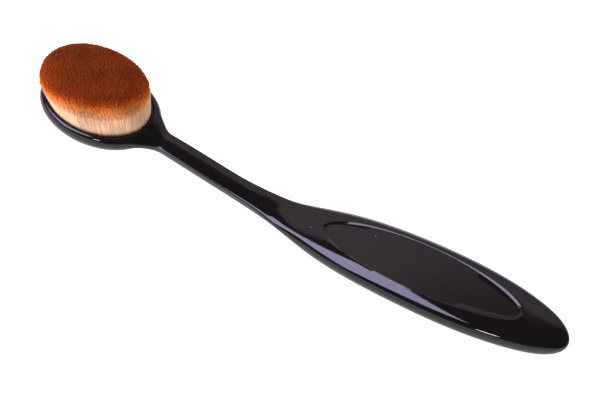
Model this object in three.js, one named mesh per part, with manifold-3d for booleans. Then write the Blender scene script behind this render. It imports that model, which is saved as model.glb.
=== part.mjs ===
// Oval foundation brush: a black moulded handle with a cup at its head, an oval tray in the cup and a dense
// domed pack of fibres. Millimetres, +Z up. The brush lies on its back: the head is at -X, the grip at +X.
import * as THREE from 'three';
import { mergeVertices } from 'three/addons/utils/BufferGeometryUtils.js';
import Module from 'manifold-3d';

// Head cup
const HEAD_LENGTH = 34.6;
const HEAD_WIDTH = 24.4;
const RIM_HEIGHT = 6.95;
const RIM_EDGE_HEIGHT = 1.8;
const RIM_EDGE_INSET = 1.8;
const REST_FLAT_LENGTH = 12;
const POCKET_INSET = 2.1;
const POCKET_DEPTH = 2.9;
const LIP_CHAMFER = 0.2;

// Neck and grip: lengths along the handle, counted from the rear of the head
const NECK_ROOT_LENGTH = 4.4;
const NECK_LENGTH = 23.7;
const GRIP_FLARE_LENGTH = 58.8;
const TAIL_LENGTH = 34.9;
const WAIST_FROM_HEAD = 37.4;
const BELLY_FROM_HEAD = 50.4;
const EDGE_DIP_FROM_HEAD = 38.9;

// Neck and grip: widths, and heights above the table
const NECK_WIDTH = 5.6;
const GRIP_WIDTH = 19.5;
const NECK_TOP = 5.65;
const NECK_EDGE = 4.95;
const NECK_UNDERSIDE = 2.5;
const WAIST_TOP = 3.7;
const WAIST_EDGE = 2.48;
const TAIL_TOP = 13.8;
const TAIL_EDGE = 11.2;
const TAIL_UNDERSIDE = 7.7;
const TAIL_ROUNDING = 7;

// Thumb recess in the top of the grip
const RECESS_LENGTH = 53.6;
const RECESS_WIDTH = 13.4;
const RECESS_DEPTH = 0.65;
const RECESS_FROM_TAIL = 12;
const RECESS_FLOOR_SHARE = 0.93;
const RECESS_END_SHALLOWING = 0.5;

// Tray, glue film and resin bed
const TRAY_CLEARANCE = 0.1;
const TRAY_WALL = 0.5;
const TRAY_FLOOR = 0.6;
const TRAY_BELOW_RIM = 0.5;
const FILM_THICKNESS = 0.2;
const FILM_INSET = 0.5;
const RESIN_THICKNESS = 0.6;
const RESIN_CLEARANCE = 0.1;

// Fibre pack: heights are above the table, flare and lean are per millimetre of height
const SLICE_THICKNESS = 0.5;
const SLICE_GAP = 0.3;
const STRAND_WIDTH = 0.95;
const STRAND_GAP = 0.33;
const PACK_EDGE_HEIGHT = 12.6;
const PACK_CROWN_HEIGHT = 17.7;
const CROWN_FLATNESS = 3.9;
const STRAND_FLARE = 0.0152;
const STRAND_LEAN = 0.18;

// Section of the stem: how square its crown and belly are, and the low arch over the back of the neck;
// the flat bar of the neck eases into the rounded grip over a stretch about the waist
const NECK_ARCH = 0.4;
const NECK_CROWN_POWER = 8;
const CROWN_POWER = 2.6;
const TAIL_CROWN_POWER = 3.4;
const NECK_BELLY_POWER = 3.5;
const BELLY_POWER = 2;
const EASE_BEFORE_WAIST = 12;
const EASE_AFTER_WAIST = 4;
// How full the tail is seen from above: a true ellipse has 0.552
const TAIL_FULLNESS = 0.565;
// How square the bowl of the cup is
const BOWL_POWER = 2;
// The root of the neck starts this far inside the cup, at this share of the cup's width there
const ROOT_BURIED = 7;
const ROOT_SHARE = 0.78;

// How finely the curved surfaces are cut
const OVAL_SIDES = 60;
const SECTION_SIDES = 32;
const CURVE_STEPS = 18;
const SIDE_VIEW_STEPS = 42;
const BOWL_STEPS = 11;
const RIM_EDGE_STEPS = 5;

const headRadius = HEAD_LENGTH / 2;
const oval = HEAD_WIDTH / HEAD_LENGTH;
const length = HEAD_LENGTH + NECK_LENGTH + GRIP_FLARE_LENGTH + TAIL_LENGTH;
const headCentre = headRadius - length / 2;

const pocketRadius = headRadius - POCKET_INSET;
const pocketFloor = RIM_HEIGHT - POCKET_DEPTH;
const trayRadius = pocketRadius - TRAY_CLEARANCE;
const trayInside = trayRadius - TRAY_WALL;
const trayBottom = pocketFloor + FILM_THICKNESS;
const trayTop = RIM_HEIGHT - TRAY_BELOW_RIM;
const resinBottom = trayBottom + TRAY_FLOOR;
const sliceBottom = resinBottom + RESIN_THICKNESS;
const sliceTop = sliceBottom + SLICE_THICKNESS;
const packRadius = trayInside - RESIN_CLEARANCE;
const strandPitch = STRAND_WIDTH + STRAND_GAP;
const outerRing = packRadius - strandPitch / 2 - STRAND_GAP / 2;

const headRear = HEAD_LENGTH - length / 2;
const rootStart = headRear - ROOT_BURIED;
const neckStart = headRear + NECK_ROOT_LENGTH;
const flareStart = headRear + NECK_LENGTH;
const gripMiddle = flareStart + GRIP_FLARE_LENGTH;
const tailEnd = length / 2;
const waist = headRear + WAIST_FROM_HEAD;
const belly = headRear + BELLY_FROM_HEAD;
const edgeDip = headRear + EDGE_DIP_FROM_HEAD;

const neckHalf = NECK_WIDTH / 2;
const gripHalf = GRIP_WIDTH / 2;
const cupHalfAtRoot = HEAD_WIDTH / 2 * Math.sqrt(1 - ((rootStart - headCentre) / headRadius) ** 2);

const wasm = await Module();
wasm.setup();

function toSolid(geometry) {
  const bare = geometry.clone();
  bare.deleteAttribute('normal');
  bare.deleteAttribute('uv');
  const merged = mergeVertices(bare, 1e-4);
  return new wasm.Manifold(new wasm.Mesh({
    numProp: 3,
    vertProperties: new Float32Array(merged.attributes.position.array),
    triVerts: new Uint32Array(merged.index.array),
  }));
}

function toGeometry(solid) {
  const mesh = solid.getMesh();
  const geometry = new THREE.BufferGeometry();
  geometry.setAttribute('position', new THREE.BufferAttribute(mesh.vertProperties, 3));
  geometry.setIndex(new THREE.BufferAttribute(mesh.triVerts, 1));
  geometry.computeVertexNormals();
  return geometry;
}

function moveVertices(geometry, place) {
  const position = geometry.attributes.position;
  const vertex = new THREE.Vector3();
  for (let i = 0; i < position.count; i += 1) {
    vertex.fromBufferAttribute(position, i);
    position.setXYZ(i, ...place(vertex));
  }
  return geometry;
}

// A profile of [radius, height] pairs turned about an upright axis
function turned(profile) {
  const points = profile.map(([radius, height]) => new THREE.Vector2(radius, height));
  return new THREE.LatheGeometry(points, OVAL_SIDES).rotateX(Math.PI / 2);
}

// The same about the head's centre line, drawn in to the oval of the head
function headTurned(profile) {
  return turned(profile).scale(1, oval, 1).translate(headCentre, 0, 0);
}

function headDisc(radius, bottom, top) {
  return headTurned([[0, bottom], [radius, bottom], [radius, top], [0, top]]);
}

// A curve on to the next point: it leaves and arrives on given slopes, held for a share of the distance each
function curveOn(path, to, leaves, arrives) {
  const from = path.currentPoint.clone();
  const out = leaves.hold * (to.x - from.x);
  const back = arrives.hold * (to.x - from.x);
  path.bezierCurveTo(from.x + out, from.y + leaves.slope * out,
    to.x - back, to.y - arrives.slope * back, to.x, to.y);
}

function startPath(x, y) {
  const path = new THREE.Path();
  path.moveTo(x, y);
  return path;
}

// Plan view: half widths from the spreading root in the cup wall to the tip of the tail
const plan = startPath(rootStart, ROOT_SHARE * cupHalfAtRoot);
curveOn(plan, { x: neckStart, y: neckHalf }, { hold: 0.4, slope: -0.66 }, { hold: 0.44, slope: 0 });
plan.lineTo((neckStart + flareStart) / 2, neckHalf);
plan.lineTo(flareStart, neckHalf);
curveOn(plan, { x: gripMiddle, y: gripHalf }, { hold: 0.43, slope: 0.022 }, { hold: 0.63, slope: 0 });
plan.bezierCurveTo(gripMiddle + TAIL_FULLNESS * TAIL_LENGTH, gripHalf,
  tailEnd, TAIL_FULLNESS * gripHalf, tailEnd, 0);
const planPoints = plan.getPoints(CURVE_STEPS);

// Side view: the crest dips at the waist and rises to the tail
const crestPath = startPath(neckStart, NECK_TOP);
curveOn(crestPath, { x: waist, y: WAIST_TOP }, { hold: 0.33, slope: -0.04 }, { hold: 0.4, slope: 0 });
curveOn(crestPath, { x: tailEnd, y: TAIL_TOP }, { hold: 0.12, slope: 0 }, { hold: 0.75, slope: 0.033 });
const crest = crestPath.getPoints(SIDE_VIEW_STEPS);

// Side view: the edge, where the stem is widest, follows below the crest
const edgePath = startPath(neckStart, NECK_EDGE);
curveOn(edgePath, { x: edgeDip, y: WAIST_EDGE }, { hold: 0.33, slope: -0.04 }, { hold: 0.35, slope: 0 });
curveOn(edgePath, { x: tailEnd, y: TAIL_EDGE }, { hold: 0.12, slope: 0 }, { hold: 0.7, slope: 0.07 });
const edge = edgePath.getPoints(SIDE_VIEW_STEPS);

// Side view: the underside comes down to the table at the belly and lifts to the tail
const undersidePath = startPath(neckStart, NECK_UNDERSIDE);
curveOn(undersidePath, { x: belly, y: 0 }, { hold: 0.4, slope: -0.11 }, { hold: 0.45, slope: 0 });
curveOn(undersidePath, { x: tailEnd, y: TAIL_UNDERSIDE }, { hold: 0.12, slope: 0 },
  { hold: 0.5, slope: 0.128 });
const underside = undersidePath.getPoints(SIDE_VIEW_STEPS);

function heightAt(points, x) {
  const last = points.length - 1;
  if (x <= points[0].x) return points[0].y;
  if (x >= points[last].x) return points[last].y;
  const after = points.findIndex((point) => point.x >= x);
  const low = points[after - 1];
  const high = points[after];
  return THREE.MathUtils.mapLinear(x, low.x, high.x, low.y, high.y);
}

// Neck and grip: a tube of rings set out along the plan, its last cap drawn out to the tip of the tail
function stem() {
  const stations = planPoints.slice(0, -1);
  const rows = stations.length - 1;
  const tube = new THREE.CylinderGeometry(1, 1, 1, SECTION_SIDES, rows);
  return moveVertices(tube, (vertex) => {
    const row = Math.round((0.5 - vertex.y) * rows);
    const capCentre = Math.hypot(vertex.x, vertex.z) < 0.5;
    const x = capCentre && row === rows ? tailEnd : stations[row].x;
    const top = heightAt(crest, x);
    const bottom = heightAt(underside, x);
    const widest = heightAt(edge, x);
    const intoTail = Math.max(0, x - (tailEnd - TAIL_ROUNDING)) / TAIL_ROUNDING;
    const fullness = Math.sqrt(1 - intoTail ** 2);
    const isCrown = vertex.z > 0;
    const reach = fullness * (isCrown ? top - widest : widest - bottom);
    const { lerp, smoothstep } = THREE.MathUtils;
    const ease = smoothstep(x, waist - EASE_BEFORE_WAIST, waist + EASE_AFTER_WAIST);
    const gripCrown = lerp(CROWN_POWER, TAIL_CROWN_POWER, smoothstep(x, gripMiddle, tailEnd));
    const [neckPower, gripPower] = isCrown ? [NECK_CROWN_POWER, gripCrown] : [NECK_BELLY_POWER, BELLY_POWER];
    const power = 2 / lerp(neckPower, gripPower, ease);
    const squared = (value) => (Math.abs(value) < 1e-6 ? 0 : Math.sign(value) * Math.abs(value) ** power);
    const aside = squared(vertex.x);
    const arch = isCrown ? NECK_ARCH * (1 - ease) : 0;
    const height = arch * (1 - aside ** 2) + (reach - arch) * squared(vertex.z);
    return [x, stations[row].y * aside, widest + height];
  });
}

// Head cup: a flat to lie on, the bowl, then the rounded edge of the rim
function cup() {
  const flat = REST_FLAT_LENGTH / 2;
  const widest = RIM_HEIGHT - RIM_EDGE_HEIGHT;
  const profile = [[0, 0], [flat, 0]];
  for (let i = 1; i <= BOWL_STEPS; i += 1) {
    const turn = (i / BOWL_STEPS) * (Math.PI / 2);
    const out = Math.sin(turn) ** (2 / BOWL_POWER);
    const down = Math.max(0, Math.cos(turn)) ** (2 / BOWL_POWER);
    profile.push([flat + (headRadius - flat) * out, widest * (1 - down)]);
  }
  for (let i = 1; i <= RIM_EDGE_STEPS; i += 1) {
    const turn = (i / RIM_EDGE_STEPS) * (Math.PI / 2);
    const inset = RIM_EDGE_INSET * (1 - Math.cos(turn));
    profile.push([headRadius - inset, widest + RIM_EDGE_HEIGHT * Math.sin(turn)]);
  }
  profile.push([0, RIM_HEIGHT]);
  return headTurned(profile);
}

// The pocket for the tray, with a small chamfer round its mouth
function pocket() {
  const above = RIM_HEIGHT + POCKET_DEPTH;
  return headTurned([
    [0, pocketFloor],
    [pocketRadius, pocketFloor],
    [pocketRadius, RIM_HEIGHT - LIP_CHAMFER],
    [pocketRadius + LIP_CHAMFER, RIM_HEIGHT],
    [pocketRadius + LIP_CHAMFER, above],
    [0, above],
  ]);
}

// The thumb recess: an oval dish with sloping sides, its floor deepest in the middle of its length
function recess() {
  const above = GRIP_WIDTH / 4;
  const wallRun = 1 - RECESS_FLOOR_SHARE;
  const floorRings = 3;
  const profile = [];
  for (let i = 0; i <= floorRings; i += 1) {
    profile.push([RECESS_FLOOR_SHARE * i / floorRings, -RECESS_DEPTH]);
  }
  profile.push([1 + wallRun * above / RECESS_DEPTH, above], [0, above]);
  const middle = tailEnd - RECESS_FROM_TAIL - RECESS_LENGTH / 2;
  return moveVertices(turned(profile), ({ x, y, z }) => {
    const along = middle + x * RECESS_LENGTH / 2;
    const sunk = z < 0 ? z * (1 - RECESS_END_SHALLOWING * x ** 2) : z;
    return [along, y * RECESS_WIDTH / 2, sunk + heightAt(crest, along)];
  });
}

function handle() {
  const body = toSolid(cup()).add(toSolid(stem()));
  return toGeometry(body.subtract(toSolid(pocket())).subtract(toSolid(recess())));
}

function tray() {
  return headTurned([
    [0, trayBottom],
    [trayRadius, trayBottom],
    [trayRadius, trayTop],
    [trayInside, trayTop],
    [trayInside, resinBottom],
    [0, resinBottom],
  ]);
}

// One strand: four sides, rooted inside its slice of resin, flaring outward and leaning towards the front
function strand(radius, angle) {
  const root = (sliceBottom + sliceTop) / 2;
  const crownShare = 1 - (radius / outerRing) ** CROWN_FLATNESS;
  const tip = PACK_EDGE_HEIGHT + (PACK_CROWN_HEIGHT - PACK_EDGE_HEIGHT) * crownShare;
  const corner = STRAND_WIDTH / Math.SQRT2;
  const prism = new THREE.CylinderGeometry(corner, corner, 1, 4).rotateX(Math.PI / 2);
  prism.rotateZ(angle + Math.PI / 4);
  prism.translate(radius * Math.cos(angle), radius * Math.sin(angle), 0.5);
  return moveVertices(prism, ({ x, y, z }) => {
    const up = z * (tip - root);
    const spread = 1 + STRAND_FLARE * up;
    return [headCentre + spread * x - STRAND_LEAN * up, oval * spread * y, root + up];
  });
}

// A quarter of the fibre pack: strands in rings round the head's centre, fused to a quarter of a resin slice
function bundle(frontOrRear, leftOrRight) {
  const quarter = new THREE.BoxGeometry(HEAD_LENGTH, HEAD_WIDTH, RIM_HEIGHT);
  quarter.translate(headCentre + frontOrRear * (HEAD_LENGTH + SLICE_GAP) / 2,
    leftOrRight * (HEAD_WIDTH + SLICE_GAP) / 2, sliceTop);
  const slice = toSolid(headDisc(packRadius, sliceBottom, sliceTop)).intersect(toSolid(quarter));
  const rings = Math.floor(outerRing / strandPitch) - 1;
  const solids = [slice];
  for (let ring = 0; ring <= rings; ring += 1) {
    const radius = THREE.MathUtils.lerp(strandPitch, outerRing, ring / rings);
    const count = Math.floor(Math.PI / 2 * radius / strandPitch);
    for (let i = 0; i < count; i += 1) {
      const angle = Math.PI / 2 * (i + 0.5) / count;
      const aimed = Math.atan2(leftOrRight * Math.sin(angle), frontOrRear * Math.cos(angle));
      solids.push(toSolid(strand(radius, aimed)));
    }
  }
  return toGeometry(wasm.Manifold.union(solids));
}

const blackMoulding = new THREE.MeshStandardMaterial({ color: '#141214', roughness: 0.2, metalness: 0 });
const trayPlastic = new THREE.MeshStandardMaterial({ color: '#1a181a', roughness: 0.45, metalness: 0 });
const glue = new THREE.MeshStandardMaterial({ color: '#d8d2c0', roughness: 0.4, metalness: 0 });
const resin = new THREE.MeshStandardMaterial({ color: '#c9a86a', roughness: 0.3, metalness: 0 });
const fibre = new THREE.MeshStandardMaterial({ color: '#a85a24', roughness: 0.75, metalness: 0 });

const brush = new THREE.Group();
brush.name = 'oval_foundation_brush';

function addPiece(name, geometry, material) {
  const mesh = new THREE.Mesh(geometry, material);
  mesh.name = name;
  brush.add(mesh);
}

addPiece('handle', handle(), blackMoulding);
addPiece('bristle_tray', tray(), trayPlastic);
addPiece('tray_adhesive', headDisc(trayRadius - FILM_INSET, pocketFloor, trayBottom), glue);
addPiece('potting_resin', headDisc(packRadius, resinBottom, sliceBottom), resin);
for (const [end, frontOrRear] of [['front', -1], ['rear', 1]]) {
  for (const [side, leftOrRight] of [['left', 1], ['right', -1]]) {
    addPiece(`fibre_bundle_${end}_${side}`, bundle(frontOrRear, leftOrRight), fibre);
  }
}

export default brush;
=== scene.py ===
# %% [markdown]
# # An oval foundation brush
# The brush is a small oval head on a long flat handle. One glossy black moulding makes the cup of
# the head, the thin neck and the broad grip. A tray glued into the cup holds a dense pack of fine
# fibres, cut to a dome and dyed from cream at the root to dark brown at the tips.
# The measured CAD model comes in first and stays where it is, and everything made here fits on it.

# %% Load the measured frame
import math
import random

import bmesh
import bpy
from mathutils import Matrix, Vector
from mathutils.geometry import interpolate_bezier
from mathutils.kdtree import KDTree


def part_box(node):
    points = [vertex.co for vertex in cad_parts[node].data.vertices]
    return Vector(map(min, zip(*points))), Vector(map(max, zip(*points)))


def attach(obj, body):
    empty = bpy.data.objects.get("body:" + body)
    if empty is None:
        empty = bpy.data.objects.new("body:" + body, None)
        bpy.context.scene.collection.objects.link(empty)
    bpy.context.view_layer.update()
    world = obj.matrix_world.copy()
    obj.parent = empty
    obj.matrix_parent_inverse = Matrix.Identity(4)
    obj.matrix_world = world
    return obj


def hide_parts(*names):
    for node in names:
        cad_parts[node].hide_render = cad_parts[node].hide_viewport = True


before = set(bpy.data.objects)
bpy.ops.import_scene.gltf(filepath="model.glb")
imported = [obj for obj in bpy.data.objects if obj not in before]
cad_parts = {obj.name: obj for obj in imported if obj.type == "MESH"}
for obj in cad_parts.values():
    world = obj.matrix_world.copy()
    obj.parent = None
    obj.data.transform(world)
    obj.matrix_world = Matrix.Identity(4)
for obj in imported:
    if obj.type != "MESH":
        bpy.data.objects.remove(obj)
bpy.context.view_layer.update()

print("frame nodes:", sorted(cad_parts))

# %% [markdown]
# Blender works in metres here, but a brush is easier to think of in millimetres. Every piece is
# modelled in millimetres and scaled to metres once, just before it becomes an object. The main
# places of the head and the handle are read from the frame, so they can't drift from the CAD.

# %% Read the main places from the frame
MM = 0.001


def box_mm(node):
    """Lowest and highest corner of a CAD node, in millimetres."""
    low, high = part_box(node)
    return low / MM, high / MM


handle_low, handle_high = box_mm("handle")
tray_low, tray_high = box_mm("bristle_tray")
head_x = (tray_low.x + tray_high.x) / 2
head_radius = head_x - handle_low.x
oval = handle_high.y / head_radius
tail_x = handle_high.x
print(f"head centre x {head_x:.1f}, half length {head_radius:.1f}, width share {oval:.3f}")
print(f"handle from {handle_low.x:.1f} to {tail_x:.1f} mm")

# %% [markdown]
# Two helpers finish the pieces. One turns a bmesh into a named object that rides on the frame and
# stands for its CAD node. The other smooths the shading but keeps true corners crisp.


# %% Helpers that finish a piece
def finish_piece(name, bm, finish, slot, *nodes):
    """Scale a millimetre bmesh to metres and hang it on the frame as a piece for those nodes."""
    bmesh.ops.scale(bm, vec=(MM, MM, MM), verts=bm.verts)
    mesh = bpy.data.meshes.new(name)
    bm.to_mesh(mesh)
    bm.free()
    mesh.materials.append(finish)
    piece = bpy.data.objects.new(name, mesh)
    bpy.context.scene.collection.objects.link(piece)
    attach(piece, "root")
    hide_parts(*nodes)
    triangles = sum(len(face.vertices) - 2 for face in mesh.polygons)
    print(f"{name}: {triangles} triangles")
    return piece


def smooth_shading(piece, corner_angle):
    """Shade the piece smooth, except over edges that turn by more than the corner angle."""
    piece.data.shade_smooth()
    piece.data.set_sharp_from_angle(angle=math.radians(corner_angle))


# %% [markdown]
# ## Finishes
# Materials are node trees. One function gives linear colours from the hex codes that a colour
# picker shows, one turns a real pattern size into a texture scale, and one adds a node with its
# settings and links. With these three, each finish reads as a short list of what the eye sees.


# %% Helpers for finishes
def colour(hex_code):
    """An sRGB hex colour as the linear RGBA that Blender's sockets hold."""
    channels = [int(hex_code[i:i + 2], 16) / 255 for i in (1, 3, 5)]
    linear = [c / 12.92 if c <= 0.04045 else ((c + 0.055) / 1.055) ** 2.4 for c in channels]
    return (*linear, 1.0)


def scale_for(size):
    """Texture scale whose features are about this many millimetres across."""
    return 1 / (size * MM)


def add_node(tree, kind, values=None, links=None, **settings):
    """Add one node, set its settings and socket values, and link its inputs to other outputs."""
    node = tree.nodes.new(kind)
    for name, value in settings.items():
        setattr(node, name, value)
    for socket, value in (values or {}).items():
        node.inputs[socket].default_value = value
    for socket, (source, output) in (links or {}).items():
        tree.links.new(source.outputs[output], node.inputs[socket])
    return node


def new_finish(name):
    """An empty node material and its tree."""
    finish = bpy.data.materials.new(name)
    finish.use_nodes = True
    finish.node_tree.nodes.clear()
    return finish, finish.node_tree


# %% [markdown]
# ### Black ABS from a polished mould
# The handle is ABS, moulded in a mirror-polished tool. The eye gets an almost black body with
# sharp reflections, which waver a little because the skin sinks unevenly as it cools. Handling
# leaves softer patches in the gloss, and a few specks of dust cling to the plastic.

# %% Black ABS, mirror-moulded
DUST_SPACING, DUST_RADIUS, CLEAN_SHARE, DUST_ROUGHNESS = 4.0, 0.04, 0.72, 0.5
black_abs, tree = new_finish("black_abs_mirror_moulded")
place = add_node(tree, "ShaderNodeTexCoord")
handled = add_node(tree, "ShaderNodeTexNoise", {"Scale": scale_for(14), "Detail": 3.0},
                   {"Vector": (place, "Object")})
gloss = add_node(tree, "ShaderNodeMapRange",
                 {"From Min": 0.35, "From Max": 0.7, "To Min": 0.04, "To Max": 0.09},
                 {"Value": (handled, "Fac")})
dust_spots = add_node(tree, "ShaderNodeTexVoronoi", {"Scale": scale_for(DUST_SPACING)},
                      {"Vector": (place, "Object")}, feature="F1")
dust_near = add_node(tree, "ShaderNodeMath", {1: DUST_RADIUS}, {0: (dust_spots, "Distance")},
                     operation="LESS_THAN")
dust_pick = add_node(tree, "ShaderNodeSeparateColor", {}, {"Color": (dust_spots, "Color")})
dust_some = add_node(tree, "ShaderNodeMath", {1: CLEAN_SHARE}, {0: (dust_pick, "Red")},
                     operation="GREATER_THAN")
dust = add_node(tree, "ShaderNodeMath", {}, {0: (dust_near, "Value"), 1: (dust_some, "Value")},
                operation="MULTIPLY")
body_colour = add_node(tree, "ShaderNodeMix", {"A": colour("#060405"), "B": colour("#7d7478")},
                       {"Factor": (dust, "Value")}, data_type="RGBA")
dusty_gloss = add_node(tree, "ShaderNodeMath", {1: DUST_ROUGHNESS},
                       {0: (dust, "Value"), 2: (gloss, "Result")}, operation="MULTIPLY_ADD")
sink = add_node(tree, "ShaderNodeTexNoise", {"Scale": scale_for(5), "Detail": 1.0},
                {"Vector": (place, "Object")})
skin = add_node(tree, "ShaderNodeBump", {"Strength": 0.05, "Distance": 0.05 * MM},
                {"Height": (sink, "Fac")})
shader = add_node(tree, "ShaderNodeBsdfPrincipled", {"IOR": 1.54, "Specular IOR Level": 0.3},
                  {"Base Color": (body_colour, "Result"), "Roughness": (dusty_gloss, "Value"),
                   "Normal": (skin, "Normal")})
add_node(tree, "ShaderNodeOutputMaterial", {}, {"Surface": (shader, "BSDF")})
print("finish:", black_abs.name)

# %% [markdown]
# ### Satin black ABS, spark-eroded mould
# The tray that holds the fibres is moulded in a tool with a spark-eroded skin, so it is as black
# as the handle but satin: a fine grain breaks the light up and no clear reflection forms.

# %% Satin black ABS, spark-eroded mould
satin_abs, tree = new_finish("satin_black_abs_spark_eroded")
place = add_node(tree, "ShaderNodeTexCoord")
grain = add_node(tree, "ShaderNodeTexNoise", {"Scale": scale_for(0.25), "Detail": 2.0},
                 {"Vector": (place, "Object")})
satin = add_node(tree, "ShaderNodeMapRange",
                 {"From Min": 0.3, "From Max": 0.7, "To Min": 0.38, "To Max": 0.55},
                 {"Value": (grain, "Fac")})
shade = add_node(tree, "ShaderNodeMix", {"A": colour("#0a090a"), "B": colour("#151315")},
                 {"Factor": (grain, "Fac")}, data_type="RGBA")
pits = add_node(tree, "ShaderNodeBump", {"Strength": 0.3, "Distance": 0.02 * MM},
                {"Height": (grain, "Fac")})
shader = add_node(tree, "ShaderNodeBsdfPrincipled", {"IOR": 1.54},
                  {"Base Color": (shade, "Result"), "Roughness": (satin, "Result"),
                   "Normal": (pits, "Normal")})
add_node(tree, "ShaderNodeOutputMaterial", {}, {"Surface": (shader, "BSDF")})
print("finish:", satin_abs.name)

# %% [markdown]
# ### Cured glue film and cast resin
# Both sit out of sight, under the tray and round the fibre roots, but a cut model or another
# scene may show them. The glue cures to a cloudy pale yellow with small bubbles. The resin is
# poured, so it sets darker amber and glassy, and creeps unevenly up the fibres.

# %% Cured contact glue, rolled on
glue_film, tree = new_finish("contact_glue_rolled_on")
place = add_node(tree, "ShaderNodeTexCoord")
cloud = add_node(tree, "ShaderNodeTexNoise", {"Scale": scale_for(3), "Detail": 3.0},
                 {"Vector": (place, "Object")})
tint = add_node(tree, "ShaderNodeMix", {"A": colour("#c9b476"), "B": colour("#e4d7a8")},
                {"Factor": (cloud, "Fac")}, data_type="RGBA")
bubbles = add_node(tree, "ShaderNodeTexVoronoi", {"Scale": scale_for(0.8)},
                   {"Vector": (place, "Object")}, feature="F1")
blister = add_node(tree, "ShaderNodeBump", {"Strength": 0.4, "Distance": 0.05 * MM},
                   {"Height": (bubbles, "Distance")})
film_gloss = add_node(tree, "ShaderNodeMapRange", {"To Min": 0.25, "To Max": 0.45},
                      {"Value": (cloud, "Fac")})
shader = add_node(tree, "ShaderNodeBsdfPrincipled", {"IOR": 1.47},
                  {"Base Color": (tint, "Result"), "Roughness": (film_gloss, "Result"),
                   "Normal": (blister, "Normal")})
add_node(tree, "ShaderNodeOutputMaterial", {}, {"Surface": (shader, "BSDF")})
print("finish:", glue_film.name)

# %% Amber epoxy, poured and set
amber_epoxy, tree = new_finish("amber_epoxy_poured")
place = add_node(tree, "ShaderNodeTexCoord")
flow = add_node(tree, "ShaderNodeTexNoise", {"Scale": scale_for(4), "Detail": 2.0},
                {"Vector": (place, "Object")})
tint = add_node(tree, "ShaderNodeMix", {"A": colour("#7c5a2a"), "B": colour("#a47c42")},
                {"Factor": (flow, "Fac")}, data_type="RGBA")
ripple = add_node(tree, "ShaderNodeBump", {"Strength": 0.25, "Distance": 0.1 * MM},
                  {"Height": (flow, "Fac")})
pour_gloss = add_node(tree, "ShaderNodeMapRange", {"To Min": 0.1, "To Max": 0.25},
                      {"Value": (flow, "Fac")})
shader = add_node(tree, "ShaderNodeBsdfPrincipled", {"IOR": 1.55},
                  {"Base Color": (tint, "Result"), "Roughness": (pour_gloss, "Result"),
                   "Normal": (ripple, "Normal")})
add_node(tree, "ShaderNodeOutputMaterial", {}, {"Surface": (shader, "BSDF")})
print("finish:", amber_epoxy.name)

# %% [markdown]
# ### Drawn nylon fibre, dipped in dye
# The fibres are drawn nylon, cream as they come. The finished pack is dipped tips down in brown
# dye, which wicks a little way up, so the colour changes with height: cream wall, a short orange
# fade, dark brown tips. The pack is held a little aslant in the dye, so the fade sits lower at the
# far side and the front. Each fibre takes the dye a little differently, and the soft round sides
# catch a pale sheen at the edge of the pack. The dye line is read from the Object coordinates, and
# each fibre carries its own tone as an attribute.

# %% Drawn nylon, dip-dyed
WICK_RISE, TONE_RISE = 1.6, 0.6
DIP_ACROSS, DIP_ALONG = 0.162, -0.14
DYE_LOW, DYE_HIGH = 7.0, 19.0
# Height above the table in millimetres, and the colour of the fibre there.
DYE_STOPS = ((8.0, "#ffdcb4"), (10.8, "#ffd0a0"), (12.0, "#ffc284"), (13.0, "#ffb05c"),
             (13.7, "#fb9436"), (14.2, "#e0741c"), (14.8, "#c25a0e"), (15.5, "#ac4e0a"),
             (18.5, "#984207"))
nylon_fibre, tree = new_finish("drawn_nylon_dip_dyed")
place = add_node(tree, "ShaderNodeTexCoord")
height = add_node(tree, "ShaderNodeSeparateXYZ", {}, {"Vector": (place, "Object")})
fibre_tone = add_node(tree, "ShaderNodeAttribute", attribute_name="tone")
wicking = add_node(tree, "ShaderNodeTexNoise", {"Scale": scale_for(3.0), "Detail": 2.0},
                   {"Vector": (place, "Object")})
wick_rise = add_node(tree, "ShaderNodeMath", {1: WICK_RISE * MM},
                     {0: (wicking, "Fac"), 2: (height, "Z")}, operation="MULTIPLY_ADD")
dip_tilt = add_node(tree, "ShaderNodeMath", {1: DIP_ACROSS},
                    {0: (height, "Y"), 2: (wick_rise, "Value")}, operation="MULTIPLY_ADD")
dip_turn = add_node(tree, "ShaderNodeMath", {1: DIP_ALONG},
                    {0: (height, "X"), 2: (dip_tilt, "Value")}, operation="MULTIPLY_ADD")
dye_height = add_node(tree, "ShaderNodeMath", {1: TONE_RISE * MM},
                      {0: (fibre_tone, "Fac"), 2: (dip_turn, "Value")}, operation="MULTIPLY_ADD")
dye_share = add_node(tree, "ShaderNodeMapRange",
                     {"From Min": (DYE_LOW + DIP_ALONG * head_x) * MM,
                      "From Max": (DYE_HIGH + DIP_ALONG * head_x) * MM},
                     {"Value": (dye_height, "Value")})
dye = add_node(tree, "ShaderNodeValToRGB", {}, {"Fac": (dye_share, "Result")})
ramp = dye.color_ramp
for stop_height, hex_code in DYE_STOPS:
    stop = ramp.elements.new((stop_height - DYE_LOW) / (DYE_HIGH - DYE_LOW))
    stop.color = colour(hex_code)
ramp.elements.remove(ramp.elements[0])
ramp.elements.remove(ramp.elements[len(ramp.elements) - 1])
fibre_shade = add_node(tree, "ShaderNodeMapRange", {"To Min": 0.88, "To Max": 1.08},
                       {"Value": (fibre_tone, "Fac")})
toned = add_node(tree, "ShaderNodeMix", {"Factor": 1.0},
                 {"A": (dye, "Color"), "B": (fibre_shade, "Result")},
                 data_type="RGBA", blend_type="MULTIPLY")
take_up = add_node(tree, "ShaderNodeTexNoise", {"Scale": scale_for(6), "Detail": 1.0},
                   {"Vector": (place, "Object")})
patchy = add_node(tree, "ShaderNodeMapRange",
                  {"From Min": 0.35, "From Max": 0.65, "To Min": 0.8, "To Max": 1.1},
                  {"Value": (take_up, "Fac")})
blotched = add_node(tree, "ShaderNodeMix", {"Factor": 1.0},
                    {"A": (toned, "Result"), "B": (patchy, "Result")},
                    data_type="RGBA", blend_type="MULTIPLY")
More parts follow.
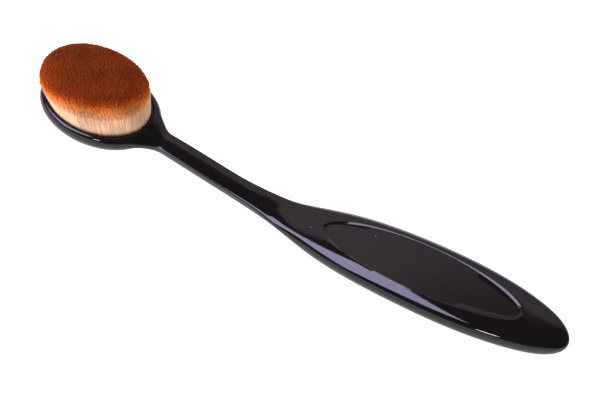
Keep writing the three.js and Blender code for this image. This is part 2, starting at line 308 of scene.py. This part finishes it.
drawn = add_node(tree, "ShaderNodeMapRange", {"To Min": 0.5, "To Max": 0.65},
                 {"Value": (wicking, "Fac")})
shader = add_node(tree, "ShaderNodeBsdfPrincipled",
                  {"IOR": 1.53, "Specular IOR Level": 0.15, "Sheen Weight": 0.1,
                   "Sheen Roughness": 0.4, "Sheen Tint": colour("#ffa860")},
                  {"Base Color": (blotched, "Result"), "Roughness": (drawn, "Result")})
add_node(tree, "ShaderNodeOutputMaterial", {}, {"Surface": (shader, "BSDF")})
print("finish:", nylon_fibre.name, "with", len(ramp.elements), "dye stops")

# %% [markdown]
# ## The handle
# Cup, neck and grip are one moulding with no seam. The cup is a bowl, so a half profile spun
# round its axis makes it, and a scale across makes it oval. The neck and grip are a long body
# whose section changes all the way, so one ring of points is extruded station by station and set
# on side, crest, edge and underside curves. A bridge between the two makes the moulded fillet.

# %% Profile of the cup
RIM_ABOVE_TRAY, RIM_WIDTH, POCKET_DEPTH = 0.5, 2.1, 2.9
RIM_ROUNDING, LIP_ROUNDING, REST_FLAT = 1.8, 0.2, 6.0
RIM_HEIGHT = tray_high.z + RIM_ABOVE_TRAY
POCKET_RADIUS = head_radius - RIM_WIDTH
POCKET_FLOOR = RIM_HEIGHT - POCKET_DEPTH
BOWL_STEPS, RIM_STEPS, LIP_STEPS = 40, 7, 4

widest_z = RIM_HEIGHT - RIM_ROUNDING
cup_profile = [(0, 0), (REST_FLAT / 2, 0), (REST_FLAT, 0)]
for step in range(1, BOWL_STEPS + 1):
    turn = math.pi / 2 * step / BOWL_STEPS
    cup_profile.append((REST_FLAT + (head_radius - REST_FLAT) * math.sin(turn),
                        widest_z * (1 - math.cos(turn))))
bowl_top = len(cup_profile) - 1
for step in range(1, RIM_STEPS + 1):
    turn = math.pi / 2 * step / RIM_STEPS
    cup_profile.append((head_radius - RIM_ROUNDING * (1 - math.cos(turn)),
                        widest_z + RIM_ROUNDING * math.sin(turn)))
for step in range(LIP_STEPS + 1):
    turn = math.pi / 2 * step / LIP_STEPS
    cup_profile.append((POCKET_RADIUS + LIP_ROUNDING * (1 - math.sin(turn)),
                        RIM_HEIGHT - LIP_ROUNDING * (1 - math.cos(turn))))
cup_profile += [(POCKET_RADIUS, POCKET_FLOOR), (0, POCKET_FLOOR)]
print(f"cup profile of {len(cup_profile)} points, rim at {RIM_HEIGHT:.2f} mm")

# %% Spin the cup
CUP_STEPS, WELD_REACH = 200, 1e-4
handle_bm = bmesh.new()
profile_verts = [handle_bm.verts.new((r, 0, z)) for r, z in cup_profile]
profile_edges = [handle_bm.edges.new(pair) for pair in zip(profile_verts, profile_verts[1:])]
bmesh.ops.spin(handle_bm, geom=profile_verts + profile_edges, cent=(0, 0, 0), axis=(0, 0, 1),
               dvec=(0, 0, 0), angle=math.tau, steps=CUP_STEPS, use_merge=True)
bmesh.ops.remove_doubles(handle_bm, verts=handle_bm.verts, dist=WELD_REACH)
print(f"cup spun: {len(handle_bm.faces)} faces")

# %% [markdown]
# The neck grows out of the back wall of the cup. A patch of wall faces is taken out there, and the
# loop that it leaves is kept for the bridge. It has as many edges as the neck's ring has points.

# %% Open the back wall for the neck
PATCH_COLUMNS, PATCH_ROWS = 18, 5
RIM_KEPT, POCKET_KEPT = 0.2, 0.5
patch_low = cup_profile[bowl_top - PATCH_ROWS][1]
patch_high = RIM_HEIGHT - RIM_KEPT
patch_turn = math.tau * PATCH_COLUMNS / CUP_STEPS


def in_patch(spot):
    """True for a face middle on the outside of the cup, within the patch that the neck covers."""
    outside = spot.z < POCKET_FLOOR or spot.xy.length > POCKET_RADIUS + POCKET_KEPT
    at_back = abs(math.atan2(spot.y, spot.x)) < patch_turn
    return outside and at_back and patch_low < spot.z < patch_high


patch = [face for face in handle_bm.faces if in_patch(face.calc_center_median())]
bmesh.ops.delete(handle_bm, geom=patch, context="FACES")
wall_loop = [edge for edge in handle_bm.edges if edge.is_boundary]
bmesh.ops.scale(handle_bm, vec=(1, oval, 1), verts=handle_bm.verts)
bmesh.ops.translate(handle_bm, vec=(head_x, 0, 0), verts=handle_bm.verts)
print(f"opened {len(patch)} faces, loop of {len(wall_loop)} edges")

# %% [markdown]
# The stem is drawn by four curves, seen from above and from the side: half width, crest, the edge
# where it is widest, and underside. Each is a chain of Bezier pieces, the way a designer lays a
# spline through a few points: a piece leaves one point on a slope and arrives at the next on
# another.

# %% Side, crest, edge and underside curves of the stem
NECK_ROOT, NECK_STRAIGHT, TAIL_LENGTH = 4.4, 19.3, 34.9
WAIST_FROM_HEAD, BELLY_FROM_HEAD, EDGE_DIP_PAST_WAIST = 37.4, 50.4, 1.5
NECK_HALF, GRIP_HALF = 2.8, 9.75
NECK_TOP, WAIST_TOP, TAIL_TOP = 5.65, 3.7, 13.8
NECK_EDGE, WAIST_EDGE, TAIL_EDGE = 4.95, 2.48, 11.2
NECK_UNDER, TAIL_UNDER = 2.5, 7.7
TAIL_FULLNESS = 0.565
ROOT_INSIDE, ROOT_SHARE, STEM_LEAD = 7.0, 0.78, 2.2
LINE_STEPS, TAIL_STEPS, SHORTEST_RUN = 48, 96, 1e-9
head_end = head_x + head_radius
NECK_START = head_end + NECK_ROOT
STEM_START = NECK_START - STEM_LEAD
FLARE_START = NECK_START + NECK_STRAIGHT
GRIP_MIDDLE = tail_x - TAIL_LENGTH
WAIST = head_end + WAIST_FROM_HEAD
BELLY = head_end + BELLY_FROM_HEAD
ROOT_START = head_end - ROOT_INSIDE
ROOT_HALF = ROOT_SHARE * oval * math.sqrt(head_radius ** 2 - (head_radius - ROOT_INSIDE) ** 2)


def carry_on(line, end, leaves, arrives):
    """Add a Bezier piece: leaves and arrives give handle length, as share of the run, and slope."""
    start, end = line[-1], Vector(end)
    run = end.x - start.x
    out_handle = start + Vector((1, leaves[1])) * leaves[0] * run
    in_handle = end - Vector((1, arrives[1])) * arrives[0] * run
    line += interpolate_bezier(start, out_handle, in_handle, end, LINE_STEPS + 1)[1:]


def height_at(line, x):
    """Second coordinate of a line at x."""
    for a, b in zip(line, line[1:]):
        if a.x <= x <= b.x:
            return a.y + (b.y - a.y) * (x - a.x) / max(b.x - a.x, SHORTEST_RUN)
    return line[-1].y if x > line[-1].x else line[0].y


side_line = [Vector((ROOT_START, ROOT_HALF))]
carry_on(side_line, (NECK_START, NECK_HALF), (0.40, -0.66), (0.44, 0))
side_line.append(Vector((FLARE_START, NECK_HALF)))
carry_on(side_line, (GRIP_MIDDLE, GRIP_HALF), (0.43, 0.022), (0.63, 0))
tail_corner = (GRIP_MIDDLE + TAIL_FULLNESS * (tail_x - GRIP_MIDDLE), GRIP_HALF)
tail_turn = (tail_x, TAIL_FULLNESS * GRIP_HALF)
side_line += interpolate_bezier(side_line[-1], tail_corner, tail_turn, (tail_x, 0),
                                TAIL_STEPS + 1)[1:]
crest_line = [Vector((NECK_START, NECK_TOP))]
carry_on(crest_line, (WAIST, WAIST_TOP), (0.33, -0.04), (0.40, 0))
carry_on(crest_line, (tail_x, TAIL_TOP), (0.12, 0), (0.75, 0.033))
edge_line = [Vector((NECK_START, NECK_EDGE))]
carry_on(edge_line, (WAIST + EDGE_DIP_PAST_WAIST, WAIST_EDGE), (0.33, -0.04), (0.35, 0))
carry_on(edge_line, (tail_x, TAIL_EDGE), (0.12, 0), (0.70, 0.07))
under_line = [Vector((NECK_START, NECK_UNDER))]
carry_on(under_line, (BELLY, 0), (0.40, -0.11), (0.45, 0))
carry_on(under_line, (tail_x, TAIL_UNDER), (0.12, 0), (0.50, 0.128))
print(f"stem lines from {NECK_START:.1f} to {tail_x:.1f} mm")

# %% [markdown]
# The neck is a flat bar with a slightly arched back and crisp edges. Towards the grip, where the
# thumb lies, the section eases into a rounded one. The grip has a long oval recess, sunk less than
# a millimetre with a soft sloping side. Points of a section gather along that side, so the lip of
# the recess stays crisp in the reflections.

# %% One section of the stem
NECK_ARCH, NECK_POWER, CROWN_POWER, TAIL_POWER = 0.4, 8.0, 2.6, 3.4
NECK_BELLY_POWER, BELLY_POWER = 3.5, 2.0
EASE_BEFORE_WAIST, EASE_AFTER_WAIST, TAIL_ROUNDING = 12, 4, 7.0
RECESS_HALF, RECESS_SIDE, RECESS_DEPTH, RECESS_FROM_TAIL = 26.8, 6.7, 0.65, 12
RECESS_X = tail_x - RECESS_FROM_TAIL - RECESS_HALF
RECESS_STRETCH = (RECESS_HALF / RECESS_SIDE) ** 2
WALL_SLOPE, WALL_ROUNDING, END_SHALLOWING = 0.58, 0.13, 0.5
CROWN_STEPS, SLOPE_STEPS, DISH_STEPS, UNDER_STEPS = 13, 10, 4, 38
# The lip as shares of the half width, and the foot of the recess wall as shares of the lip.
LEAST_LIP, LIP_GAIN, MOST_LIP, SPREAD_OUT = 0.08, 0.54, 0.8, 8.0
LEAST_FOOT, MOST_FOOT, FOOT_PAST_RECESS = 0.12, 0.93, 0.45
LEAST_REACH, THINNEST_LIP = 0.01, 1e-3


def eased(share):
    """A share from 0 to 1 that starts and ends gently."""
    share = min(1, max(0, share))
    return share * share * (3 - 2 * share)


def wall_drop(share):
    """Share of its drop that the recess wall has made at a share of its width, ends rounded."""
    share = min(1, max(0, share))
    if share > 0.5:
        return 1 - wall_drop(1 - share)
    return (share ** 2 / (2 * WALL_ROUNDING) if share < WALL_ROUNDING
            else share - WALL_ROUNDING / 2) / (1 - WALL_ROUNDING)


def neck_to_grip(x):
    """Share of the way from the neck's flat section to the grip's rounded one."""
    run = EASE_BEFORE_WAIST + EASE_AFTER_WAIST
    return eased((x - (WAIST - EASE_BEFORE_WAIST)) / run)


def recess_depth(x):
    """Depth of the recess floor below the crest: most in the middle, less towards the ends."""
    return RECESS_DEPTH * (1 - END_SHALLOWING * ((x - RECESS_X) / RECESS_HALF) ** 2)


def crown_height(x, y, half, widest, rise):
    """Height of the back of the stem, before the recess is sunk into it: arch and rounded edges."""
    ease, to_tail = neck_to_grip(x), eased((x - GRIP_MIDDLE) / (tail_x - GRIP_MIDDLE))
    power = NECK_POWER + (CROWN_POWER - NECK_POWER) * ease + (TAIL_POWER - CROWN_POWER) * to_tail
    arch, aside = NECK_ARCH * (1 - ease), min(1, abs(y) / half)
    return widest + arch * (1 - aside ** 2) + (rise - arch) * (1 - aside ** power) ** (1 / power)


def back_height(x, y, half, widest, rise):
    """Height of the back of the stem, with the sloping wall and the floor of the recess sunk in."""
    along, aside = (x - RECESS_X) / RECESS_HALF, y / RECESS_SIDE
    reach = max(math.hypot(along, aside), LEAST_REACH)
    if reach >= 1:
        return crown_height(x, y, half, widest, rise)
    lip_height = crown_height(x, y / reach, half, widest, rise)
    depth = lip_height - (widest + rise - recess_depth(x))
    inside = (1 - reach) * reach / math.hypot(along / RECESS_HALF, aside / RECESS_SIDE)
    return lip_height - depth * wall_drop(inside * WALL_SLOPE / depth)


def stem_section(x):
    """Points round the stem at x: over the back from one side to the other, then underneath."""
    half, top, widest, under = (height_at(line, x)
                                for line in (side_line, crest_line, edge_line, under_line))
    past = max(0, x - (tail_x - TAIL_ROUNDING)) / TAIL_ROUNDING
    full = math.sqrt(max(0, 1 - past ** 2))
    along = ((x - RECESS_X) / RECESS_HALF) ** 2
    past_recess = eased((abs(x - RECESS_X) - RECESS_HALF) / SPREAD_OUT)
    lip = RECESS_SIDE * math.sqrt(max(0, 1 - along))
    lip = min(max(lip, (LEAST_LIP + LIP_GAIN * past_recess) * half), MOST_LIP * half)
    rise = (top - widest) * full
    depth = recess_depth(x) - widest - rise + crown_height(x, lip, half, widest, rise)
    lean = math.hypot(x - RECESS_X, lip * RECESS_STRETCH) / max(lip, THINNEST_LIP)
    foot = lip - depth / WALL_SLOPE * lean / RECESS_STRETCH
    foot = min(max(foot, LEAST_FOOT * lip), MOST_FOOT * lip)
    foot += (FOOT_PAST_RECESS * lip - foot) * past_recess
    lip_turn = math.acos(lip / half)
    across = [half * math.cos(lip_turn * i / CROWN_STEPS) for i in range(CROWN_STEPS)]
    across += [lip + (foot - lip) * i / SLOPE_STEPS for i in range(SLOPE_STEPS)]
    across += [foot * (1 - i / DISH_STEPS) for i in range(DISH_STEPS)]
    across = across + [0] + [-y for y in reversed(across)]
    ring = [Vector((x, y, back_height(x, y, half, widest, rise))) for y in across]
    square = 2 / (NECK_BELLY_POWER + (BELLY_POWER - NECK_BELLY_POWER) * neck_to_grip(x))
    for i in range(1, UNDER_STEPS):
        turn = math.pi * (1 + i / UNDER_STEPS)
        aside = math.copysign(abs(math.cos(turn)) ** square, math.cos(turn))
        drop = abs(math.sin(turn)) ** square
        ring.append(Vector((x, half * aside, widest - (widest - under) * full * drop)))
    return ring


print(f"{len(stem_section(STEM_START))} points in a section")

# %% Extrude the stem station by station
STATION_GAP, CLOSEST_GAP = 0.8, 0.05
RECESS_STATIONS, TAIL_STATIONS, LAST_TURN = 120, 40, math.radians(88.6)


def ring_edges(ring):
    """Edges that join the points of a ring."""
    return [handle_bm.edges.get(pair) for pair in zip(ring, ring[1:] + ring[:1])]


wanted = [STEM_START + STATION_GAP * i
          for i in range(1, int((GRIP_MIDDLE - STEM_START) / STATION_GAP))]
wanted += [RECESS_X - RECESS_HALF * math.cos(math.pi * i / RECESS_STATIONS)
           for i in range(RECESS_STATIONS + 1)]
wanted += [GRIP_MIDDLE + (tail_x - GRIP_MIDDLE) * math.sin(LAST_TURN * i / TAIL_STATIONS)
           for i in range(TAIL_STATIONS + 1)]
stations = []
for x in sorted(wanted):
    if not stations or x - stations[-1] > CLOSEST_GAP:
        stations.append(x)

section = stem_section(STEM_START)
ring = bmesh.ops.create_circle(handle_bm, segments=len(section), radius=1)["verts"]
for vert, spot in zip(ring, section):
    vert.co = spot
neck_loop = loop = ring_edges(ring)
for x in stations:
    made = bmesh.ops.extrude_edge_only(handle_bm, edges=loop)["geom"]
    fresh = {item for item in made if isinstance(item, bmesh.types.BMVert)}
    ring = [next(edge.other_vert(vert) for edge in vert.link_edges
                 if edge.other_vert(vert) in fresh) for vert in ring]
    for vert, spot in zip(ring, stem_section(x)):
        vert.co = spot
    loop = ring_edges(ring)
tip = sum((vert.co for vert in ring), Vector()) / len(ring)
bmesh.ops.pointmerge(handle_bm, verts=ring, merge_co=(tail_x, 0, tip.z))
print(f"stem of {len(stations)} stations, tail closed at x {tail_x:.1f}")

# %% [markdown]
# The bridge joins the opening in the cup to the first ring of the neck. Cut across a few times
# and smoothed, its faces settle into the hollow fillet that a mould maker mills at such a join.

# %% Bridge the neck to the cup
FILLET_CUTS, FILLET_SMOOTHING, BELOW_RIM = 6, 7, 1e-3
bridge = bmesh.ops.bridge_loops(handle_bm, edges=wall_loop + neck_loop)
loop_edges = set(wall_loop) | set(neck_loop)
rungs = {edge for face in bridge["faces"] for edge in face.edges} - loop_edges
cut = bmesh.ops.subdivide_edges(handle_bm, edges=list(rungs), cuts=FILLET_CUTS, use_grid_fill=True)
fillet = {vert for face in bridge["faces"] if face.is_valid for vert in face.verts}
fillet |= {item for item in cut["geom_inner"] if isinstance(item, bmesh.types.BMVert)}
fillet |= {edge.other_vert(vert) for vert in fillet for edge in vert.link_edges
           if edge.other_vert(vert).co.z < RIM_HEIGHT - BELOW_RIM}
fillet = list(fillet)
for _ in range(FILLET_SMOOTHING):
    bmesh.ops.smooth_vert(handle_bm, verts=fillet, factor=0.5, use_axis_x=True, use_axis_y=True,
                          use_axis_z=True)
bmesh.ops.recalc_face_normals(handle_bm, faces=handle_bm.faces)
open_edges = sum(1 for edge in handle_bm.edges if not edge.is_manifold)
print(f"fillet of {len(fillet)} points, {open_edges} open edges left")

# %% Finish the handle
CORNER_ANGLE = 40
handle = finish_piece("handle_moulding", handle_bm, black_abs, "black_moulding", "handle")
smooth_shading(handle, CORNER_ANGLE)

# %% [markdown]
# ## The inner stack
# The tray, the glue under it and the resin round the fibre roots have the right shape in the CAD
# model already, so they stay, and each only gets its finish.

# %% Finish the tray, the glue and the resin
for node, finish in (("bristle_tray", satin_abs), ("tray_adhesive", glue_film),
                     ("potting_resin", amber_epoxy)):
    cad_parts[node].material_slots[0].material = finish
    print(node, "gets", finish.name)

# %% [markdown]
# ## The fibres
# The real pack holds tens of thousands of fibres. They stand nearly upright, spread and lean a
# little, and are cut to a dome that falls off steeply near the edge. A part carries its own mesh,
# so each fibre is a slim three-sided blade extruded from a triangle at its root. Roots follow a
# sunflower spiral, which fills an oval evenly, and one more row closes the edge. Neighbours are
# drawn towards a common tuft, as fibres cling to each other, and a few stray ones stand off.

# %% Roots, tufts and the cut of the pack
FIBRES, OUTER_ROW, TUFTS = 18400, 1600, 700
GOLDEN_ANGLE = math.radians(137.508)
PACK_RADIUS, ROOT_Z = 14.35, 5.7
EDGE_CUT, CROWN_CUT, CUT_POWER = 12.8, 17.4, 4.4
SPREAD, LEAN = 0.0135, 0.18
REAR_RISE, FAR_RISE = 0.6, 0.8
TUFT_JITTER, ROOT_JITTER, OUTER_REACH = 0.02, 0.006, 0.985
LEAST_PULL, MOST_PULL = 0.1, 0.3
TIP_SHIFT, TIP_SCATTER, SWAY = -0.1, 0.12, 0.1
STRAY_SHARE, STRAY_RISE, STRAY_SWAY = 0.008, 0.3, 0.4
PALEST_STRAY, DARKEST_STRAY = -4, -1
chance = random.Random(7)


def sunflower(count, jitter):
    """Evenly spread points in the oval, as shares of the pack radius along and across."""
    for i in range(count):
        reach, turn = math.sqrt((i + 0.5) / count), i * GOLDEN_ANGLE
        yield Vector((reach * math.cos(turn) + chance.uniform(-jitter, jitter),
                      reach * math.sin(turn) + chance.uniform(-jitter, jitter), 0))


tufts = KDTree(TUFTS)
for i, spot in enumerate(sunflower(TUFTS, TUFT_JITTER)):
    tufts.insert(spot, i)
tufts.balance()

roots = list(sunflower(FIBRES, ROOT_JITTER))
for i in range(OUTER_ROW):
    turn, reach = math.tau * i / OUTER_ROW, chance.uniform(OUTER_REACH, 1.0)
    roots.append(Vector((reach * math.cos(turn), reach * math.sin(turn), 0)))
fibres = []
for spot in roots:
    tuft = tufts.find(spot)[0]
    edge_cut = EDGE_CUT + REAR_RISE * spot.x + FAR_RISE * spot.y
    cut = edge_cut + (CROWN_CUT - edge_cut) * (1 - min(1, spot.length) ** CUT_POWER)
    stray = chance.random() < STRAY_SHARE
    fibres.append({"root": spot,
                   "pull": (tuft - spot) * chance.uniform(LEAST_PULL, MOST_PULL),
                   "tip": cut + (chance.uniform(0, STRAY_RISE) if stray
                                 else chance.gauss(TIP_SHIFT, TIP_SCATTER)),
                   "turn": chance.uniform(0, math.tau),
                   "tone": (chance.uniform(PALEST_STRAY, DARKEST_STRAY) if stray
                            else chance.random()),
                   "sway": chance.gauss(0, STRAY_SWAY if stray else SWAY)})
print(f"{len(fibres)} fibres in {TUFTS} tufts")

# %% One fibre, extruded from its root
FIBRE_RADIUS = 0.125
# Share of the fibre's height, and its width there as a share of the full width.
FIBRE_STATIONS = ((0, 1.0), (0.45, 1.0), (0.8, 1.0), (0.97, 0.9), (1.0, 0.5))


def fibre_middle(fibre, share):
    """Middle of a fibre at a share of its height: spread, lean, and a pull towards its tuft."""
    up = (fibre["tip"] - ROOT_Z) * share
    spot = fibre["root"] + fibre["pull"] * share ** 2
    spread = PACK_RADIUS * (1 + SPREAD * up)
    return Vector((head_x + spot.x * spread - LEAN * up + fibre["sway"] * share ** 2,
                   spot.y * oval * spread, ROOT_Z + up))


def set_triangle(face, fibre, share, width):
    """Set a fibre's triangle round its middle at that height."""
    middle = fibre_middle(fibre, share)
    for i, vert in enumerate(face.verts):
        turn = fibre["turn"] + math.tau * i / 3
        vert.co = middle + FIBRE_RADIUS * width * Vector((math.cos(turn), math.sin(turn), 0))


def fibre_bundle(name, node, members):
    """One share of the pack as a piece: root triangles, extruded from station to station."""
    bm = bmesh.new()
    number = bm.faces.layers.int.new("number")
    tone = bm.verts.layers.float.new("tone")
    faces, root_ends = [], []
    for i, fibre in enumerate(members):
        corners = [bm.verts.new() for corner in range(3)]
        face = bm.faces.new(corners)
        root_ends.append(corners[::-1])
        face[number] = i
        for vert in face.verts:
            vert[tone] = fibre["tone"]
        set_triangle(face, fibre, *FIBRE_STATIONS[0])
        faces.append(face)
    for share, width in FIBRE_STATIONS[1:]:
        faces = bmesh.ops.extrude_discrete_faces(bm, faces=faces)["faces"]
        for face in faces:
            set_triangle(face, members[face[number]], share, width)
    for corners in root_ends:
        bm.faces.new(corners)
    piece = finish_piece(name, bm, nylon_fibre, "fibre", node)
    piece.data.shade_smooth()


# %% Grow the four shares of the pack
for front in (True, False):
    for left in (True, False):
        end, side = "front" if front else "rear", "left" if left else "right"
        members = [fibre for fibre in fibres
                   if (fibre["root"].x < 0) == front and (fibre["root"].y > 0) == left]
        fibre_bundle(f"fibres_{end}_{side}", f"fibre_bundle_{end}_{side}", members)

# %% [markdown]
# ## Floor, light and camera
# The brush lies on a white lit table, as small goods are photographed: light comes up through the
# acrylic, so the ground goes pure white and the shadow almost disappears. One large softbox hangs
# to the left, and its long reflection on the near shoulder shows how glossy the plastic is. A small
# lamp in front puts short sparks on the rim and the tail. The room is dim, with a low glow at the
# near left, and a pale screen at the far side greys the far edges of the plastic.

# %% White lit table
TABLE_HALF = 1.5
acrylic, tree = new_finish("white_acrylic_sanded_lit")
place = add_node(tree, "ShaderNodeTexCoord")
sanding = add_node(tree, "ShaderNodeTexNoise", {"Scale": scale_for(6), "Detail": 2.0},
                   {"Vector": (place, "Object")})
matt = add_node(tree, "ShaderNodeMapRange", {"To Min": 0.8, "To Max": 0.9},
                {"Value": (sanding, "Fac")})
shader = add_node(tree, "ShaderNodeBsdfPrincipled",
                  {"Base Color": colour("#8c8c8e"), "IOR": 1.49, "Specular IOR Level": 0.1,
                   "Emission Color": colour("#ffffff"), "Emission Strength": 1.33},
                  {"Roughness": (matt, "Result")})
add_node(tree, "ShaderNodeOutputMaterial", {}, {"Surface": (shader, "BSDF")})

floor_bm = bmesh.new()
bmesh.ops.create_grid(floor_bm, x_segments=1, y_segments=1, size=TABLE_HALF)
floor_mesh = bpy.data.meshes.new("lit_table")
floor_bm.to_mesh(floor_mesh)
floor_bm.free()
floor_mesh.materials.append(acrylic)
floor = bpy.data.objects.new("lit_table", floor_mesh)
bpy.context.scene.collection.objects.link(floor)
print(f"lit table {2 * TABLE_HALF:.0f} m square")


# %% Softbox and lamp
def area_light(name, spot, wide, high, glow, hex_code):
    """A flat rectangle of light at a spot, turned to the brush, with that radiance on its face."""
    data = bpy.data.lights.new(name, "AREA")
    data.shape = "RECTANGLE"
    data.size, data.size_y = wide, high
    data.energy = glow * math.pi * wide * high
    data.color = colour(hex_code)[:3]
    light = bpy.data.objects.new(name, data)
    light.location = spot
    light.rotation_euler = spot.to_track_quat("Z", "Y").to_euler()
    bpy.context.scene.collection.objects.link(light)
    print(f"{name}: {data.energy:.2f} W at {[round(c, 2) for c in light.location]}")


def around(turn, rise, away):
    """A place round the brush, by its compass turn and rise in degrees and its distance."""
    turn, rise = math.radians(turn), math.radians(rise)
    return away * Vector((math.cos(rise) * math.cos(turn), math.cos(rise) * math.sin(turn),
                          math.sin(rise)))


area_light("softbox", around(turn=-158, rise=50, away=0.9), wide=0.58, high=0.50, glow=11.2,
           hex_code="#ded5ff")
area_light("front_lamp", around(turn=-95, rise=35, away=0.9), wide=0.11, high=0.08, glow=45.0,
           hex_code="#fff4ee")

# %% Dim room with a pale screen
NEAR_LEFT, FAR_SIDE = (-0.64, -0.77, 0.0), (-0.57, 0.82, 0.0)
SCREEN_AXIS = (-0.1695, -0.1282, 0.9771)
ROOM_GLOW = 0.25
room = bpy.data.worlds.new("studio_room")
bpy.context.scene.world = room
room.use_nodes = True
tree = room.node_tree
tree.nodes.clear()
look = add_node(tree, "ShaderNodeTexCoord")
gaze = add_node(tree, "ShaderNodeSeparateXYZ", {}, {"Vector": (look, "Generated")})
low_glow = add_node(tree, "ShaderNodeMapRange",
                    {"From Min": 0.1, "From Max": 0.35, "To Min": 2.2, "To Max": 0.0},
                    {"Value": (gaze, "Z")})
near_left = add_node(tree, "ShaderNodeVectorMath", {1: NEAR_LEFT}, {0: (look, "Generated")},
                     operation="DOT_PRODUCT")
near_share = add_node(tree, "ShaderNodeMapRange", {"From Min": 0.6, "From Max": 0.85},
                      {"Value": (near_left, "Value")})
room_glow = add_node(tree, "ShaderNodeMath", {2: ROOM_GLOW},
                     {0: (low_glow, "Result"), 1: (near_share, "Result")},
                     operation="MULTIPLY_ADD")
to_screen_top = add_node(tree, "ShaderNodeVectorMath", {1: SCREEN_AXIS}, {0: (look, "Generated")},
                         operation="DOT_PRODUCT")
below_top = add_node(tree, "ShaderNodeMapRange",
                     {"From Min": 0.685, "From Max": 0.75, "To Min": 1.0, "To Max": 0.0},
                     {"Value": (to_screen_top, "Value")}, interpolation_type="SMOOTHSTEP")
screen_climb = add_node(tree, "ShaderNodeMapRange",
                        {"From Min": 0.2, "From Max": 0.64, "To Min": 0.28, "To Max": 0.75},
                        {"Value": (to_screen_top, "Value")})
screen_face = add_node(tree, "ShaderNodeMath", {},
                       {0: (below_top, "Result"), 1: (screen_climb, "Result")},
                       operation="MULTIPLY")
to_far = add_node(tree, "ShaderNodeVectorMath", {1: FAR_SIDE}, {0: (look, "Generated")},
                  operation="DOT_PRODUCT")
far_share = add_node(tree, "ShaderNodeMapRange", {"From Min": 0.45, "From Max": 0.62},
                     {"Value": (to_far, "Value")})
screen_glow = add_node(tree, "ShaderNodeMath", {},
                       {0: (screen_face, "Value"), 1: (far_share, "Result")}, operation="MULTIPLY")
all_glow = add_node(tree, "ShaderNodeMath", {},
                    {0: (room_glow, "Value"), 1: (screen_glow, "Value")}, operation="ADD")
sky = add_node(tree, "ShaderNodeBackground", {"Color": colour("#ffecf4")},
               {"Strength": (all_glow, "Value")})
add_node(tree, "ShaderNodeOutputWorld", {}, {"Surface": (sky, "Background")})
bpy.context.scene.view_settings.view_transform = "Standard"
print("studio room set")

# %% Camera at the photograph's angle
CAMERA_TURN, CAMERA_RISE, CAMERA_AWAY = math.radians(35.52), math.radians(50.22), 400.26
AIM_Z, SHIFT_RIGHT, SHIFT_UP = 5.0, 2.81, 1.28
LENS, SENSOR_WIDTH, NEAREST = 99.89, 36, 0.01
back = Vector((math.sin(CAMERA_TURN) * math.cos(CAMERA_RISE),
               -math.cos(CAMERA_TURN) * math.cos(CAMERA_RISE), math.sin(CAMERA_RISE)))
right = Vector((math.cos(CAMERA_TURN), math.sin(CAMERA_TURN), 0))
up = back.cross(right)
camera_data = bpy.data.cameras.new("camera")
camera_data.lens, camera_data.sensor_width = LENS, SENSOR_WIDTH
camera_data.clip_start = NEAREST
camera = bpy.data.objects.new("camera", camera_data)
stand = (Vector((0, 0, AIM_Z)) + CAMERA_AWAY * back + SHIFT_RIGHT * right + SHIFT_UP * up) * MM
camera.matrix_world = Matrix.Translation(stand) @ Matrix((right, up, back)).transposed().to_4x4()
bpy.context.scene.collection.objects.link(camera)
bpy.context.scene.camera = camera
print(f"camera {CAMERA_AWAY:.0f} mm away, {math.degrees(CAMERA_RISE):.0f} degrees up")
